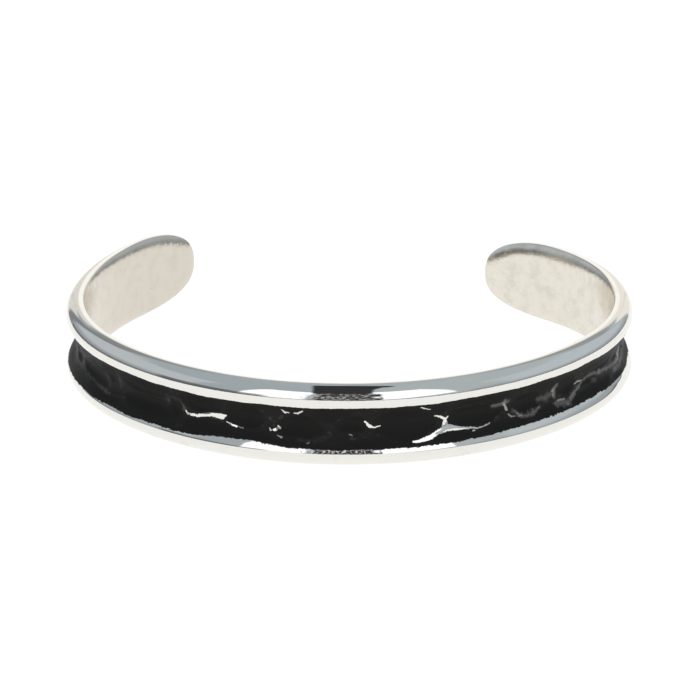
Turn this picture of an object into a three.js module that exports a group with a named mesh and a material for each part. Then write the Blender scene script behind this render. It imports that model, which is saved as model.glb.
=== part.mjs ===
import * as THREE from "three";

// Cuff bracelet: one cast silver band, open at the back, lying on its lower edge.
// Millimetres, +Z up. The front of the cuff faces -Y and the gap faces +Y.
// The inner face is the reference: both arms leave the front centre and bend toward the gap.

// Band section
const bandHeight = 10.0;
const bandThickness = 2.7;
const innerRoundWidth = 0.6;
const innerRoundHeight = 1.7;
const innerRoundPower = 1.6;
const crownFlat = 0.3;
const outerRoundHeight = 1.75;
const rimWall = 0.1;
const lipHeight = 0.65;
const coveDepth = 1.1;
const covePower = 1.25;

// Bends of the inner face, from the front centre to each tip
const frontRadius = 33.5;
const frontHalfLength = 31.7;
const leftShoulderRadius = 25.0;
const leftShoulderLength = 18.8;
const leftEndRadius = 33.0;
const leftEndLength = 25.4;
const rightShoulderRadius = 23.8;
const rightShoulderLength = 20.7;
const rightEndRadius = 20.6;
const rightEndLength = 21.1;
const bendBlend = 4.0;

// Rounded ends, seen flat: a superellipse this long and this square
const tipLength = 10.15;
const tipPower = 2.55;

// Hammered dents in the ground of the channel
const dentDepth = 0.36;

// How finely the curved faces are cut into flat facets
const stationPitch = 1.25;
const tipStations = 10;
const tipLastShare = 0.995;
const bendStep = 0.2;
const innerRoundSteps = 4;
const outerRoundSteps = 5;
const lipSteps = 2;
const groundSteps = 12;
const innerSteps = 4;

const halfHeight = bandHeight / 2;
const outerRoundWidth = bandThickness - innerRoundWidth - crownFlat;
const rimHeight = outerRoundHeight + rimWall;
const channelHalfHeight = halfHeight - rimHeight;
const groundHalfHeight = channelHalfHeight - lipHeight;
const groundHeight = 2 * groundHalfHeight;

const LEFT = -1;
const RIGHT = 1;

const arms = {
  [LEFT]: armPath([
    { radius: frontRadius, length: frontHalfLength },
    { radius: leftShoulderRadius, length: leftShoulderLength },
    { radius: leftEndRadius, length: leftEndLength },
  ]),
  [RIGHT]: armPath([
    { radius: frontRadius, length: frontHalfLength },
    { radius: rightShoulderRadius, length: rightShoulderLength },
    { radius: rightEndRadius, length: rightEndLength },
  ]),
};

// Each dent is a shallow cap pressed into the ground, and sharp ridges stay where two caps meet.
// along: share of the arm's length from the front centre
// up: share of half the ground's height, from -1 at its lower border to 1 at its upper border
// long, tall: half length and half height, as shares of the ground's height
// deep: share of the dent depth
const leftDents = [
  { along: 0.0, up: 0.1, long: 0.4, tall: 0.24, deep: 0.8 },
  { along: 0.027, up: 0.6, long: 0.55, tall: 0.24, deep: 0.7 },
  { along: 0.074, up: -0.16, long: 0.55, tall: 0.32, deep: 1.0 },
  { along: 0.08, up: -0.82, long: 0.5, tall: 0.15, deep: 0.5 },
  { along: 0.09, up: 0.85, long: 0.24, tall: 0.13, deep: 0.6 },
  { along: 0.158, up: 0.2, long: 0.49, tall: 0.42, deep: 1.0 },
  { along: 0.14, up: -0.75, long: 0.5, tall: 0.18, deep: 0.7 },
  { along: 0.214, up: -0.67, long: 0.67, tall: 0.24, deep: 0.9 },
  { along: 0.227, up: 0.5, long: 0.6, tall: 0.27, deep: 1.0 },
  { along: 0.275, up: -0.16, long: 0.24, tall: 0.22, deep: 0.5 },
  { along: 0.325, up: -0.35, long: 0.82, tall: 0.25, deep: 0.9 },
  { along: 0.334, up: 0.55, long: 0.84, tall: 0.24, deep: 0.8 },
  { along: 0.414, up: 0.47, long: 0.35, tall: 0.24, deep: 0.7 },
  { along: 0.42, up: -0.8, long: 0.8, tall: 0.14, deep: 0.7 },
  { along: 0.46, up: -0.02, long: 0.73, tall: 0.29, deep: 1.0 },
  { along: 0.495, up: 0.75, long: 0.35, tall: 0.13, deep: 0.8 },
  { along: 0.532, up: -0.08, long: 0.3, tall: 0.14, deep: 0.7 },
  { along: 0.535, up: 0.35, long: 0.26, tall: 0.12, deep: 0.6 },
  { along: 0.588, up: -0.55, long: 0.67, tall: 0.24, deep: 0.9 },
  { along: 0.6, up: 0.4, long: 0.5, tall: 0.3, deep: 0.9 },
  { along: 0.665, up: -0.15, long: 0.63, tall: 0.35, deep: 1.0 },
  { along: 0.675, up: 0.75, long: 0.6, tall: 0.16, deep: 0.7 },
  { along: 0.73, up: 0.25, long: 0.53, tall: 0.32, deep: 0.9 },
  { along: 0.74, up: -0.7, long: 0.6, tall: 0.16, deep: 0.8 },
  { along: 0.8, up: -0.1, long: 0.63, tall: 0.34, deep: 1.0 },
  { along: 0.855, up: 0.35, long: 0.47, tall: 0.24, deep: 0.8 },
  { along: 0.87, up: -0.4, long: 0.45, tall: 0.24, deep: 0.9 },
  { along: 0.92, up: 0.0, long: 0.5, tall: 0.25, deep: 0.9 },
];

const rightDents = [
  { along: 0.035, up: -0.82, long: 0.6, tall: 0.14, deep: 0.6 },
  { along: 0.081, up: 0.04, long: 0.76, tall: 0.45, deep: 1.0 },
  { along: 0.131, up: 0.75, long: 0.22, tall: 0.18, deep: 0.8 },
  { along: 0.159, up: -0.78, long: 0.59, tall: 0.18, deep: 0.8 },
  { along: 0.192, up: 0.08, long: 0.76, tall: 0.29, deep: 1.0 },
  { along: 0.202, up: 0.75, long: 0.7, tall: 0.16, deep: 0.8 },
  { along: 0.244, up: -0.75, long: 0.67, tall: 0.16, deep: 0.6 },
  { along: 0.282, up: 0.08, long: 0.47, tall: 0.29, deep: 0.9 },
  { along: 0.314, up: 0.75, long: 0.6, tall: 0.14, deep: 0.6 },
  { along: 0.328, up: -0.62, long: 0.6, tall: 0.18, deep: 0.7 },
  { along: 0.363, up: 0.3, long: 0.35, tall: 0.27, deep: 0.8 },
  { along: 0.424, up: -0.08, long: 0.39, tall: 0.16, deep: 0.9 },
  { along: 0.43, up: -0.55, long: 0.9, tall: 0.22, deep: 0.9 },
  { along: 0.446, up: 0.5, long: 0.7, tall: 0.22, deep: 0.9 },
  { along: 0.51, up: -0.7, long: 0.4, tall: 0.16, deep: 0.7 },
  { along: 0.515, up: 0.1, long: 0.3, tall: 0.16, deep: 0.6 },
  { along: 0.55, up: 0.65, long: 0.47, tall: 0.18, deep: 0.7 },
  { along: 0.562, up: -0.12, long: 0.31, tall: 0.16, deep: 0.8 },
  { along: 0.6, up: -0.6, long: 0.63, tall: 0.22, deep: 0.9 },
  { along: 0.635, up: 0.3, long: 0.55, tall: 0.3, deep: 0.9 },
  { along: 0.69, up: -0.35, long: 0.55, tall: 0.26, deep: 0.9 },
  { along: 0.705, up: 0.5, long: 0.6, tall: 0.24, deep: 0.8 },
  { along: 0.767, up: -0.1, long: 0.6, tall: 0.34, deep: 1.0 },
  { along: 0.835, up: 0.3, long: 0.53, tall: 0.27, deep: 0.9 },
  { along: 0.85, up: -0.4, long: 0.55, tall: 0.25, deep: 0.9 },
  { along: 0.915, up: 0.0, long: 0.5, tall: 0.25, deep: 0.9 },
];

const dents = [
  ...leftDents.map((dent) => placedDent(dent, LEFT)),
  ...rightDents.map((dent) => placedDent(dent, RIGHT)),
];

const silver = new THREE.MeshStandardMaterial({
  name: "silver",
  color: 0xd2d3d4,
  metalness: 1.0,
  roughness: 0.15,
});

// Inner face of one arm, walked in small steps while each bend runs smoothly into the next.
function armPath(bends) {
  const length = bends.reduce((sum, bend) => sum + bend.length, 0);
  const steps = Math.ceil(length / bendStep);
  const step = length / steps;
  const points = [{ x: 0, y: 0, heading: 0 }];
  for (let i = 0; i < steps; i += 1) {
    const last = points[i];
    const turn = curvatureAt(bends, (i + 0.5) * step) * step;
    const heading = last.heading + turn / 2;
    points.push({
      x: last.x + Math.cos(heading) * step,
      y: last.y + Math.sin(heading) * step,
      heading: last.heading + turn,
    });
  }
  return { length, step, points };
}

function curvatureAt(bends, distance) {
  let curvature = 1 / bends[0].radius;
  let joint = 0;
  for (let i = 1; i < bends.length; i += 1) {
    joint += bends[i - 1].length;
    const share = 1 / (1 + Math.exp((-4 * (distance - joint)) / bendBlend));
    curvature += share * (1 / bends[i].radius - 1 / bends[i - 1].radius);
  }
  return curvature;
}

// Point and outward direction on the inner face, at a signed distance from the front centre.
function innerFaceAt(signedDistance) {
  const side = signedDistance < 0 ? LEFT : RIGHT;
  const { step, points } = arms[side];
  const place = Math.abs(signedDistance) / step;
  const low = Math.min(Math.floor(place), points.length - 2);
  const blend = place - low;
  const x = THREE.MathUtils.lerp(points[low].x, points[low + 1].x, blend);
  const y = THREE.MathUtils.lerp(points[low].y, points[low + 1].y, blend);
  const heading = THREE.MathUtils.lerp(points[low].heading, points[low + 1].heading, blend);
  return { x: side * x, y, outX: side * Math.sin(heading), outY: -Math.cos(heading) };
}

// Share of the rounded end that a station has reached: 0 on the straight strip, 1 at the tip.
function tipShareAt(signedDistance) {
  const side = signedDistance < 0 ? LEFT : RIGHT;
  const left = arms[side].length - Math.abs(signedDistance);
  return THREE.MathUtils.clamp(1 - left / tipLength, 0, 1);
}

function halfHeightAt(tipShare) {
  return halfHeight * (1 - tipShare ** tipPower) ** (1 / tipPower);
}

// Distance from the band's outline, measured on its face, so the rim also goes round the ends.
function edgeDistance(tipShare, height) {
  const rise = Math.abs(height) / halfHeight;
  const level = (tipShare ** tipPower + rise ** tipPower) ** (1 / tipPower);
  if (level < 1e-6) {
    return halfHeight;
  }
  const slopeAlong = (tipShare / level) ** (tipPower - 1) / tipLength;
  const slopeUp = (rise / level) ** (tipPower - 1) / halfHeight;
  const distance = (1 - level) / Math.hypot(slopeAlong, slopeUp);
  return THREE.MathUtils.clamp(distance, 0, halfHeight);
}

// How far a rounded edge has swelled out sideways, at a distance below the crown.
// At power 2 it is a quarter of an ellipse, and below 2 it runs out more gently.
function roundSwell(distance, width, height, power) {
  const rest = 1 - Math.min(distance / height, 1);
  return width * (1 - rest ** power) ** (1 / power);
}

function placedDent(dent, side) {
  return {
    along: side * dent.along * arms[side].length,
    up: dent.up * groundHalfHeight,
    long: dent.long * groundHeight,
    tall: dent.tall * groundHeight,
    deep: dent.deep * dentDepth,
  };
}

function reliefAt(signedDistance, height) {
  let deepest = 0;
  for (const dent of dents) {
    const along = (signedDistance - dent.along) / dent.long;
    const up = (height - dent.up) / dent.tall;
    deepest = Math.max(deepest, dent.deep * (1 - along ** 2 - up ** 2));
  }
  return deepest;
}

// Outer face: rounded bead of the rim, short wall, rolled lip, then the ground with its dents.
function outerOffset(signedDistance, tipShare, height) {
  const distance = edgeDistance(tipShare, height);
  const crown = innerRoundWidth + crownFlat;
  const bead = crown + roundSwell(distance, outerRoundWidth, outerRoundHeight, 2);
  const fall = Math.max(distance - rimHeight, 0) / channelHalfHeight;
  const cove = coveDepth * Math.sin((fall * Math.PI) / 2) ** covePower;
  const inward = Math.max(distance - rimHeight - lipHeight, 0) / groundHalfHeight;
  const relief = Math.sin((inward * Math.PI) / 2) * reliefAt(signedDistance, height);
  return bead - cove - relief;
}

function innerOffset(tipShare, height) {
  const distance = edgeDistance(tipShare, height);
  const swell = roundSwell(distance, innerRoundWidth, innerRoundHeight, innerRoundPower);
  return innerRoundWidth - swell;
}

// Distances from the upper edge that get a row of points, as shares of half the band's height.
function roundRows(height, steps) {
  const rows = [0];
  for (let i = 1; i <= steps; i += 1) {
    rows.push((height * (1 - Math.cos((i / steps) * (Math.PI / 2)))) / halfHeight);
  }
  return rows;
}

// Row heights from the lower edge to the upper one, as shares from -1 to 1.
function outerRows() {
  const rows = roundRows(outerRoundHeight, outerRoundSteps);
  for (let i = 0; i < lipSteps; i += 1) {
    rows.push((rimHeight + (lipHeight * i) / lipSteps) / halfHeight);
  }
  for (let i = 0; i <= groundSteps / 2; i += 1) {
    const share = i / (groundSteps / 2);
    rows.push((rimHeight + lipHeight + groundHalfHeight * share) / halfHeight);
  }
  return mirroredRows(rows);
}

function innerRows() {
  const rows = roundRows(innerRoundHeight, innerRoundSteps);
  const last = rows[rows.length - 1];
  for (let i = 1; i <= innerSteps / 2; i += 1) {
    rows.push(last + ((1 - last) * i) / (innerSteps / 2));
  }
  return mirroredRows(rows);
}

function mirroredRows(rows) {
  const lower = rows.map((row) => row - 1);
  const upper = lower.slice(0, -1).reverse().map((row) => -row);
  return [...lower, ...upper];
}

// Signed distances of the stations, from the left tip to the right one, closer near the tips.
function stationPlaces() {
  const leftStart = -(arms[LEFT].length - tipLength);
  const rightStart = arms[RIGHT].length - tipLength;
  const tip = [];
  for (let i = 1; i <= tipStations; i += 1) {
    const share = Math.min(Math.sin(((i / tipStations) * Math.PI) / 2), tipLastShare);
    tip.push(share * tipLength);
  }
  const count = Math.round((rightStart - leftStart) / stationPitch);
  const middle = [];
  for (let i = 0; i <= count; i += 1) {
    middle.push(leftStart + ((rightStart - leftStart) * i) / count);
  }
  const leftTip = tip.map((reach) => leftStart - reach).reverse();
  const rightTip = tip.map((reach) => rightStart + reach);
  return [...leftTip, ...middle, ...rightTip];
}

// One closed loop of points at a station: up the outer face, then down the inner face.
function sectionLoop(signedDistance, outer, inner) {
  const tipShare = tipShareAt(signedDistance);
  const reach = halfHeightAt(tipShare);
  const face = innerFaceAt(signedDistance);
  const loop = [];
  const add = (offset, height) => {
    loop.push([face.x + face.outX * offset, face.y + face.outY * offset, halfHeight + height]);
  };
  for (const row of outer) {
    add(outerOffset(signedDistance, tipShare, row * reach), row * reach);
  }
  for (const row of [...inner].reverse()) {
    add(innerOffset(tipShare, row * reach), row * reach);
  }
  return loop;
}

function bandGeometry() {
  const outer = outerRows();
  const inner = innerRows();
  const loops = stationPlaces().map((place) => sectionLoop(place, outer, inner));
  const points = loops.flat();
  const size = loops[0].length;
  const faces = [];
  for (let station = 0; station + 1 < loops.length; station += 1) {
    for (let i = 0; i < size; i += 1) {
      const next = (i + 1) % size;
      const a = station * size + i;
      const b = station * size + next;
      const c = (station + 1) * size + next;
      const d = (station + 1) * size + i;
      faces.push([a, d, c], [a, c, b]);
    }
  }
  faces.push(...capFaces(points, loops[0], 0, true));
  faces.push(...capFaces(points, loops[loops.length - 1], (loops.length - 1) * size, false));
  const geometry = new THREE.BufferGeometry();
  geometry.setAttribute("position", new THREE.Float32BufferAttribute(points.flat(), 3));
  geometry.setIndex(faces.flat());
  geometry.computeVertexNormals();
  return geometry;
}

// Small flat face that closes the band at a tip, as a fan round its middle point.
function capFaces(points, loop, first, atLeft) {
  const middle = [0, 1, 2].map((axis) => {
    return loop.reduce((sum, point) => sum + point[axis], 0) / loop.length;
  });
  points.push(middle);
  const centre = points.length - 1;
  return loop.map((point, i) => {
    const a = first + i;
    const b = first + ((i + 1) % loop.length);
    return atLeft ? [centre, a, b] : [centre, b, a];
  });
}

// The origin lies under the middle of the band's bounding box, on the surface it rests on.
function onItsOrigin(geometry) {
  geometry.computeBoundingBox();
  const { min, max } = geometry.boundingBox;
  geometry.translate(-(min.x + max.x) / 2, -(min.y + max.y) / 2, -min.z);
  return geometry;
}

const cuffBand = new THREE.Mesh(onItsOrigin(bandGeometry()), silver);
cuffBand.name = "cuff_band";

const cuffBracelet = new THREE.Group();
cuffBracelet.add(cuffBand);

export default cuffBracelet;
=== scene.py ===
"""Open silver cuff with two polished rims, a hammered blackened channel and rounded paddle ends.

The band is laid out flat with its full section, hammered by a table of dents, and bent along
the curve of the wrist. Lengths are in metres in the panels, and in millimetres in the tables of
worn lines and in the materials.
"""

import math

import bpy
import numpy as np
from bpy.props import FloatProperty, FloatVectorProperty, IntProperty, PointerProperty
from mathutils import Matrix, Vector


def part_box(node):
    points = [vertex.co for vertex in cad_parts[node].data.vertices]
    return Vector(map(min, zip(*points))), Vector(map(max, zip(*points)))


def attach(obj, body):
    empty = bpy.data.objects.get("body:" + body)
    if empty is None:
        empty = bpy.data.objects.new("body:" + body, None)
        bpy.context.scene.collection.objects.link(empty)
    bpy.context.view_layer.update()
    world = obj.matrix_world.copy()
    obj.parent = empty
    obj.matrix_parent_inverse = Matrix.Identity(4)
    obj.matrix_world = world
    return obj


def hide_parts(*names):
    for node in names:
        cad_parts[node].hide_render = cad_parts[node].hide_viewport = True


bl_info = {
    "name": "Hammered Silver Cuff",
    "version": (1, 0, 0),
    "blender": (4, 5, 0),
    "location": "View3D > Sidebar > Cuff",
    "description": "Builds an open silver cuff with a blackened hammered channel, and its studio",
    "category": "Object",
}

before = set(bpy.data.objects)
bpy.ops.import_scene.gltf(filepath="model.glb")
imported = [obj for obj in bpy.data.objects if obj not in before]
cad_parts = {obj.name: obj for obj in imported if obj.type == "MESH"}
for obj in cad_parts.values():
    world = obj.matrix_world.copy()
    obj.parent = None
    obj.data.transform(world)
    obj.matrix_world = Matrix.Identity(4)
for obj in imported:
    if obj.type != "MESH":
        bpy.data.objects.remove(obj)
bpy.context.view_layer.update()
BAND_LOW, BAND_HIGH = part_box("cuff_band")

MM = 0.001
LEFT, RIGHT = -1, 1
PIECE_NAME = "cuff_band_silver"

# Surface zones of the band, as its faces are marked on the flat blank
RIM_ZONE, CHANNEL_ZONE, INNER_ZONE = 0, 1, 2
# The polish of the rim reaches this far over the inner edge, in metres
POLISHED_INNER_EDGE = 0.00008
# Two dents meet in a ridge where their depths differ by less than this, in metres
RIDGE_WIDTH = 0.00009
# How far the black reaches up the foot of the lip, in millimetres
PAINT_OVERLAP = 0.14
# How far noise moves the outlines of the dents, and how high the grit between them stands, in metres
DENT_WANDER = 0.0007
GRIT_HEIGHT = 0.00003
# Strips of faces over a rim's bead, its lip, half the ground, and each half of the inner face
BEAD_ROWS, LIP_ROWS, GROUND_ROWS, INNER_ROWS = 16, 7, 15, 7
# The last station stops just short of the tip, where the band would have no height
TIP_REACH = 0.9996

# Dents: along is a share of the arm from the front centre, and up a share of half the
# ground's height. Half the dent's length and half its height follow as shares of the ground's
# height, and its depth as a share of the dent depth.
LEFT_DENTS = (
    (0.0, 0.1, 0.4, 0.24, 0.8),
    (0.027, 0.6, 0.55, 0.24, 0.7),
    (0.074, -0.16, 0.55, 0.32, 1.0),
    (0.08, -0.82, 0.5, 0.15, 0.5),
    (0.09, 0.85, 0.24, 0.13, 0.6),
    (0.158, 0.2, 0.49, 0.42, 1.0),
    (0.14, -0.75, 0.5, 0.18, 0.7),
    (0.214, -0.67, 0.67, 0.24, 0.9),
    (0.227, 0.5, 0.6, 0.27, 1.0),
    (0.275, -0.16, 0.24, 0.22, 0.5),
    (0.325, -0.35, 0.82, 0.25, 0.9),
    (0.334, 0.55, 0.84, 0.24, 0.8),
    (0.414, 0.47, 0.35, 0.24, 0.7),
    (0.42, -0.8, 0.8, 0.14, 0.7),
    (0.46, -0.02, 0.73, 0.29, 1.0),
    (0.495, 0.75, 0.35, 0.13, 0.8),
    (0.532, -0.08, 0.3, 0.14, 0.7),
    (0.535, 0.35, 0.26, 0.12, 0.6),
    (0.588, -0.55, 0.67, 0.24, 0.9),
    (0.6, 0.4, 0.5, 0.3, 0.9),
    (0.665, -0.15, 0.63, 0.35, 1.0),
    (0.675, 0.75, 0.6, 0.16, 0.7),
    (0.73, 0.25, 0.53, 0.32, 0.9),
    (0.74, -0.7, 0.6, 0.16, 0.8),
    (0.8, -0.1, 0.63, 0.34, 1.0),
    (0.855, 0.35, 0.47, 0.24, 0.8),
    (0.87, -0.4, 0.45, 0.24, 0.9),
    (0.92, 0.0, 0.5, 0.25, 0.9),
)
RIGHT_DENTS = (
    (0.035, -0.82, 0.6, 0.14, 0.6),
    (0.081, 0.04, 0.76, 0.45, 1.0),
    (0.131, 0.75, 0.22, 0.18, 0.8),
    (0.159, -0.78, 0.59, 0.18, 0.8),
    (0.192, 0.08, 0.76, 0.29, 1.0),
    (0.202, 0.75, 0.7, 0.16, 0.8),
    (0.244, -0.75, 0.67, 0.16, 0.6),
    (0.282, 0.08, 0.47, 0.29, 0.9),
    (0.314, 0.75, 0.6, 0.14, 0.6),
    (0.328, -0.62, 0.6, 0.18, 0.7),
    (0.363, 0.3, 0.35, 0.27, 0.8),
    (0.424, -0.08, 0.39, 0.16, 0.9),
    (0.43, -0.55, 0.9, 0.22, 0.9),
    (0.446, 0.5, 0.7, 0.22, 0.9),
    (0.51, -0.7, 0.4, 0.16, 0.7),
    (0.515, 0.1, 0.3, 0.16, 0.6),
    (0.55, 0.65, 0.47, 0.18, 0.7),
    (0.562, -0.12, 0.31, 0.16, 0.8),
    (0.6, -0.6, 0.63, 0.22, 0.9),
    (0.635, 0.3, 0.55, 0.3, 0.9),
    (0.69, -0.35, 0.55, 0.26, 0.9),
    (0.705, 0.5, 0.6, 0.24, 0.8),
    (0.767, -0.1, 0.6, 0.34, 1.0),
    (0.835, 0.3, 0.53, 0.27, 0.9),
    (0.85, -0.4, 0.55, 0.25, 0.9),
    (0.915, 0.0, 0.5, 0.25, 0.9),
)

# Where the black is worn through on the ridges between dents, given on the flat band in
# millimetres. Each line has its shine, then points of (along, rise, half width).
BARE_LINES = (
    (1.0, (-19.4, -0.3, 0.06), (-19.1, -0.6, 0.12), (-17.6, -0.6, 0.19)),
    (1.0, (-17.6, -0.5, 0.19), (-15.9, -0.1, 0.22), (-14.7, -0.1, 0.34), (-14.2, 0.1, 0.1)),
    (1.0, (-14.1, -0.6, 0.06), (-13.5, -0.9, 0.08), (-12.9, -1.0, 0.1)),
    (0.8, (-9.0, -0.75, 0.08), (-8.9, -0.9, 0.08)),
    (1.0, (-8.6, -0.85, 0.11), (-8.3, -0.75, 0.19)),
    (1.0, (-8.1, -0.4, 0.11), (-7.9, -0.65, 0.11)),
    (0.9, (-7.6, 1.9, 0.05), (-7.2, 1.55, 0.11), (-6.8, 1.55, 0.05)),
    (0.9, (-6.2, 1.55, 0.06), (-5.8, 1.55, 0.11), (-5.3, 1.9, 0.08)),
    (1.0, (1.5, 0.55, 0.1), (2.0, -0.05, 0.2), (2.6, -0.25, 0.08), (3.2, -0.1, 0.07)),
    (0.9, (7.6, 2.15, 0.07), (8.1, 1.9, 0.08), (8.7, 1.7, 0.05)),
    (1.0, (9.3, 0.7, 0.06), (10.0, 0.5, 0.12), (10.5, 0.1, 0.18)),
    (1.0, (10.9, 0.4, 0.07), (10.5, 0.05, 0.18), (10.5, -0.7, 0.4)),
    (1.0, (10.5, -0.9, 0.42), (11.3, -1.05, 0.32), (12.4, -1.25, 0.17), (13.6, -1.35, 0.1)),
    (0.9, (13.6, -1.35, 0.1), (14.2, -1.5, 0.08), (14.8, -1.45, 0.07), (15.8, -1.2, 0.05)),
    (0.8, (13.7, -1.7, 0.07), (13.9, -1.7, 0.07)),
    (1.0, (10.4, -1.05, 0.36), (9.6, -1.3, 0.24), (8.7, -1.75, 0.28), (7.4, -2.05, 0.16)),
    (1.0, (7.4, -2.05, 0.16), (6.7, -2.05, 0.06)),
    (0.4, (18.1, -0.1, 0.15), (17.7, 0.7, 0.12)),
    (0.3, (18.3, -0.7, 0.1), (18.7, -1.05, 0.1), (19.1, -1.1, 0.06)),
    (0.3, (19.7, -1.2, 0.1), (20.0, -1.2, 0.1)),
    (0.35, (28.4, 0.3, 0.1), (28.9, 0.45, 0.12), (29.6, 0.3, 0.1)),
    (0.25, (25.6, -0.9, 0.14), (26.5, -1.0, 0.12)),
    (0.4, (-8.1, -1.4, 0.07), (-7.6, -1.6, 0.08)),
    (0.3, (-12.7, -1.0, 0.07), (-12.1, -1.1, 0.06)),
    (0.4, (-0.2, -0.95, 0.05), (0.1, -1.1, 0.05)),
    (0.3, (-4.8, -2.05, 0.06), (-4.6, -1.95, 0.06)),
)

# Softer lines and patches where the black is only thinned, in the same terms.
SMOKY_LINES = (
    (0.3, (16.4, 0.7, 0.2), (17.6, 0.8, 0.22), (18.1, 1.05, 0.16)),
    (0.26, (19.0, -0.5, 0.14), (20.1, -1.4, 0.16), (21.6, -1.3, 0.2), (22.6, -0.9, 0.14)),
    (0.14, (22.6, 0.0, 0.3), (24.5, 0.2, 0.34)),
    (0.3, (24.9, -0.2, 0.24), (24.7, 0.7, 0.3), (25.1, 1.1, 0.3)),
    (0.2, (25.3, -1.2, 0.34), (27.0, -1.5, 0.36)),
    (0.28, (27.5, -1.3, 0.24), (28.9, -0.4, 0.24), (30.3, 0.2, 0.2), (31.7, 0.3, 0.18)),
    (0.24, (31.7, 0.3, 0.2), (35.2, -0.1, 0.2), (37.4, -0.5, 0.22)),
    (0.12, (32.2, -0.55, 0.2), (32.7, -0.7, 0.2)),
    (0.36, (37.5, -0.5, 0.24), (39.4, -0.4, 0.3), (39.4, 1.2, 0.4)),
    (0.26, (39.6, -1.1, 0.2), (43.0, -0.6, 0.22), (45.0, -0.5, 0.2)),
    (0.14, (37.3, -1.0, 0.4), (39.4, -1.3, 0.4)),
    (0.07, (-43.7, -0.3, 0.14), (-40.9, -0.95, 0.12), (-38.8, -1.1, 0.1)),
    (0.09, (-39.9, 0.6, 0.1), (-38.5, -0.75, 0.09), (-37.5, -1.2, 0.09), (-35.0, -1.3, 0.08)),
    (0.09, (-35.0, -1.3, 0.08), (-33.4, -1.45, 0.08), (-31.4, -1.65, 0.08)),
    (0.05, (-38.4, 0.45, 0.12), (-33.7, 0.85, 0.12), (-31.4, -0.8, 0.12)),
    (0.03, (-29.7, 1.35, 0.35), (-29.5, 0.05, 0.35)),
    (0.04, (-21.8, 1.0, 0.2), (-21.8, 0.15, 0.2)),
    (0.05, (-21.2, 1.0, 0.14), (-20.1, 0.8, 0.12), (-19.4, -0.2, 0.1)),
    (0.03, (-5.8, -1.8, 0.16), (-4.3, -1.75, 0.16), (-2.8, -1.3, 0.16)),
)


# Panel settings

def in_metres(name, description, default):
    return FloatProperty(name=name, description=description, default=default,
                         unit="LENGTH", subtype="DISTANCE", precision=5)


def in_degrees(name, description, degrees):
    return FloatProperty(name=name, description=description, default=math.radians(degrees),
                         unit="ROTATION", subtype="ANGLE")


def as_share(name, description, default):
    return FloatProperty(name=name, description=description, default=default,
                         min=0.0, max=1.0, subtype="FACTOR")


def as_tint(name, description, default):
    return FloatVectorProperty(name=name, description=description, default=default,
                               min=0.0, max=1.0, subtype="COLOR")


class CuffBandSizes(bpy.types.PropertyGroup):
    """Section of the band and the bends that it follows round the wrist."""

    height: in_metres("Band height", "From the lower edge to the upper edge", BAND_HIGH.z - BAND_LOW.z)
    thickness: in_metres("Band thickness", "From the inner face to the fullest part of a rim", 0.0027)
    inner_round_width: in_metres(
        "Inner round width", "How far the inner edge's rounding reaches outward", 0.0006)
    inner_round_height: in_metres(
        "Inner round height", "How far the inner edge's rounding reaches down", 0.0017)
    inner_round_power: FloatProperty(
        name="Inner round shape", description="2 is an ellipse, lower runs out more gently",
        default=1.6, min=1.0)
    crown_flat: in_metres("Crown flat", "Width of the flat that the cuff lies on", 0.0003)
    outer_round_height: in_metres("Outer round height", "Height of the rim's rounded bead", 0.00175)
    rim_wall: in_metres("Rim wall", "Upright stretch below the bead", 0.0001)
    lip_height: in_metres("Lip height", "Smooth silver lip between the rim and the ground", 0.00065)
    cove_depth: in_metres("Channel depth", "Depth of the channel's hollow before hammering", 0.0011)
    cove_power: FloatProperty(
        name="Channel shape", description="Higher values roll the lip more gently", default=1.25)
    dent_depth: in_metres("Dent depth", "Depth of the deepest hammer dents", 0.00036)
    tip_length: in_metres("Tip length", "Length of the rounded end", 0.01015)
    tip_power: FloatProperty(
        name="Tip squareness", description="2 is an ellipse, higher is squarer", default=2.55)
    front_radius: in_metres("Front radius", "Bend of the front on the inner face", 0.0335)
    front_half_length: in_metres("Front half length", "Length of that bend on each side", 0.0317)
    left_shoulder_radius: in_metres("Left shoulder radius", "Bend of the left shoulder", 0.025)
    left_shoulder_length: in_metres("Left shoulder length", "Length of the left shoulder", 0.0188)
    left_end_radius: in_metres("Left end radius", "Bend of the left paddle end", 0.033)
    left_end_length: in_metres("Left end length", "Length of the left paddle end", 0.0254)
    right_shoulder_radius: in_metres("Right shoulder radius", "Bend of the right shoulder", 0.0238)
    right_shoulder_length: in_metres("Right shoulder length", "Length of the right shoulder", 0.0207)
    right_end_radius: in_metres("Right end radius", "Bend of the right paddle end", 0.0206)
    right_end_length: in_metres("Right end length", "Length of the right paddle end", 0.0211)
    bend_blend: in_metres("Bend blend", "Length over which one bend runs into the next", 0.004)
    station_pitch: in_metres("Station pitch", "Length of one strip of faces along the band", 0.00018)
    tip_stations: IntProperty(
        name="Tip stations", description="Strips of faces on each rounded end", default=60, min=8)


class CuffFinish(bpy.types.PropertyGroup):
    """Colours and gloss of the silver and of the black in the channel."""

    silver: as_tint("Silver", "Colour of the polished silver", (0.81, 0.8, 0.755))
    satin_silver: as_tint("Satin silver", "Colour of the inner face", (0.785, 0.745, 0.66))
    black: as_tint("Black", "Colour of the oxide in the channel", (0.0165, 0.0162, 0.0154))
    rim_roughness: as_share("Rim roughness", "Gloss of the polished rims", 0.012)
    inner_roughness: as_share("Inner roughness", "Gloss of the satin inner face", 0.16)
    black_roughness: as_share("Black roughness", "Gloss of the oxide", 0.45)


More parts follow.
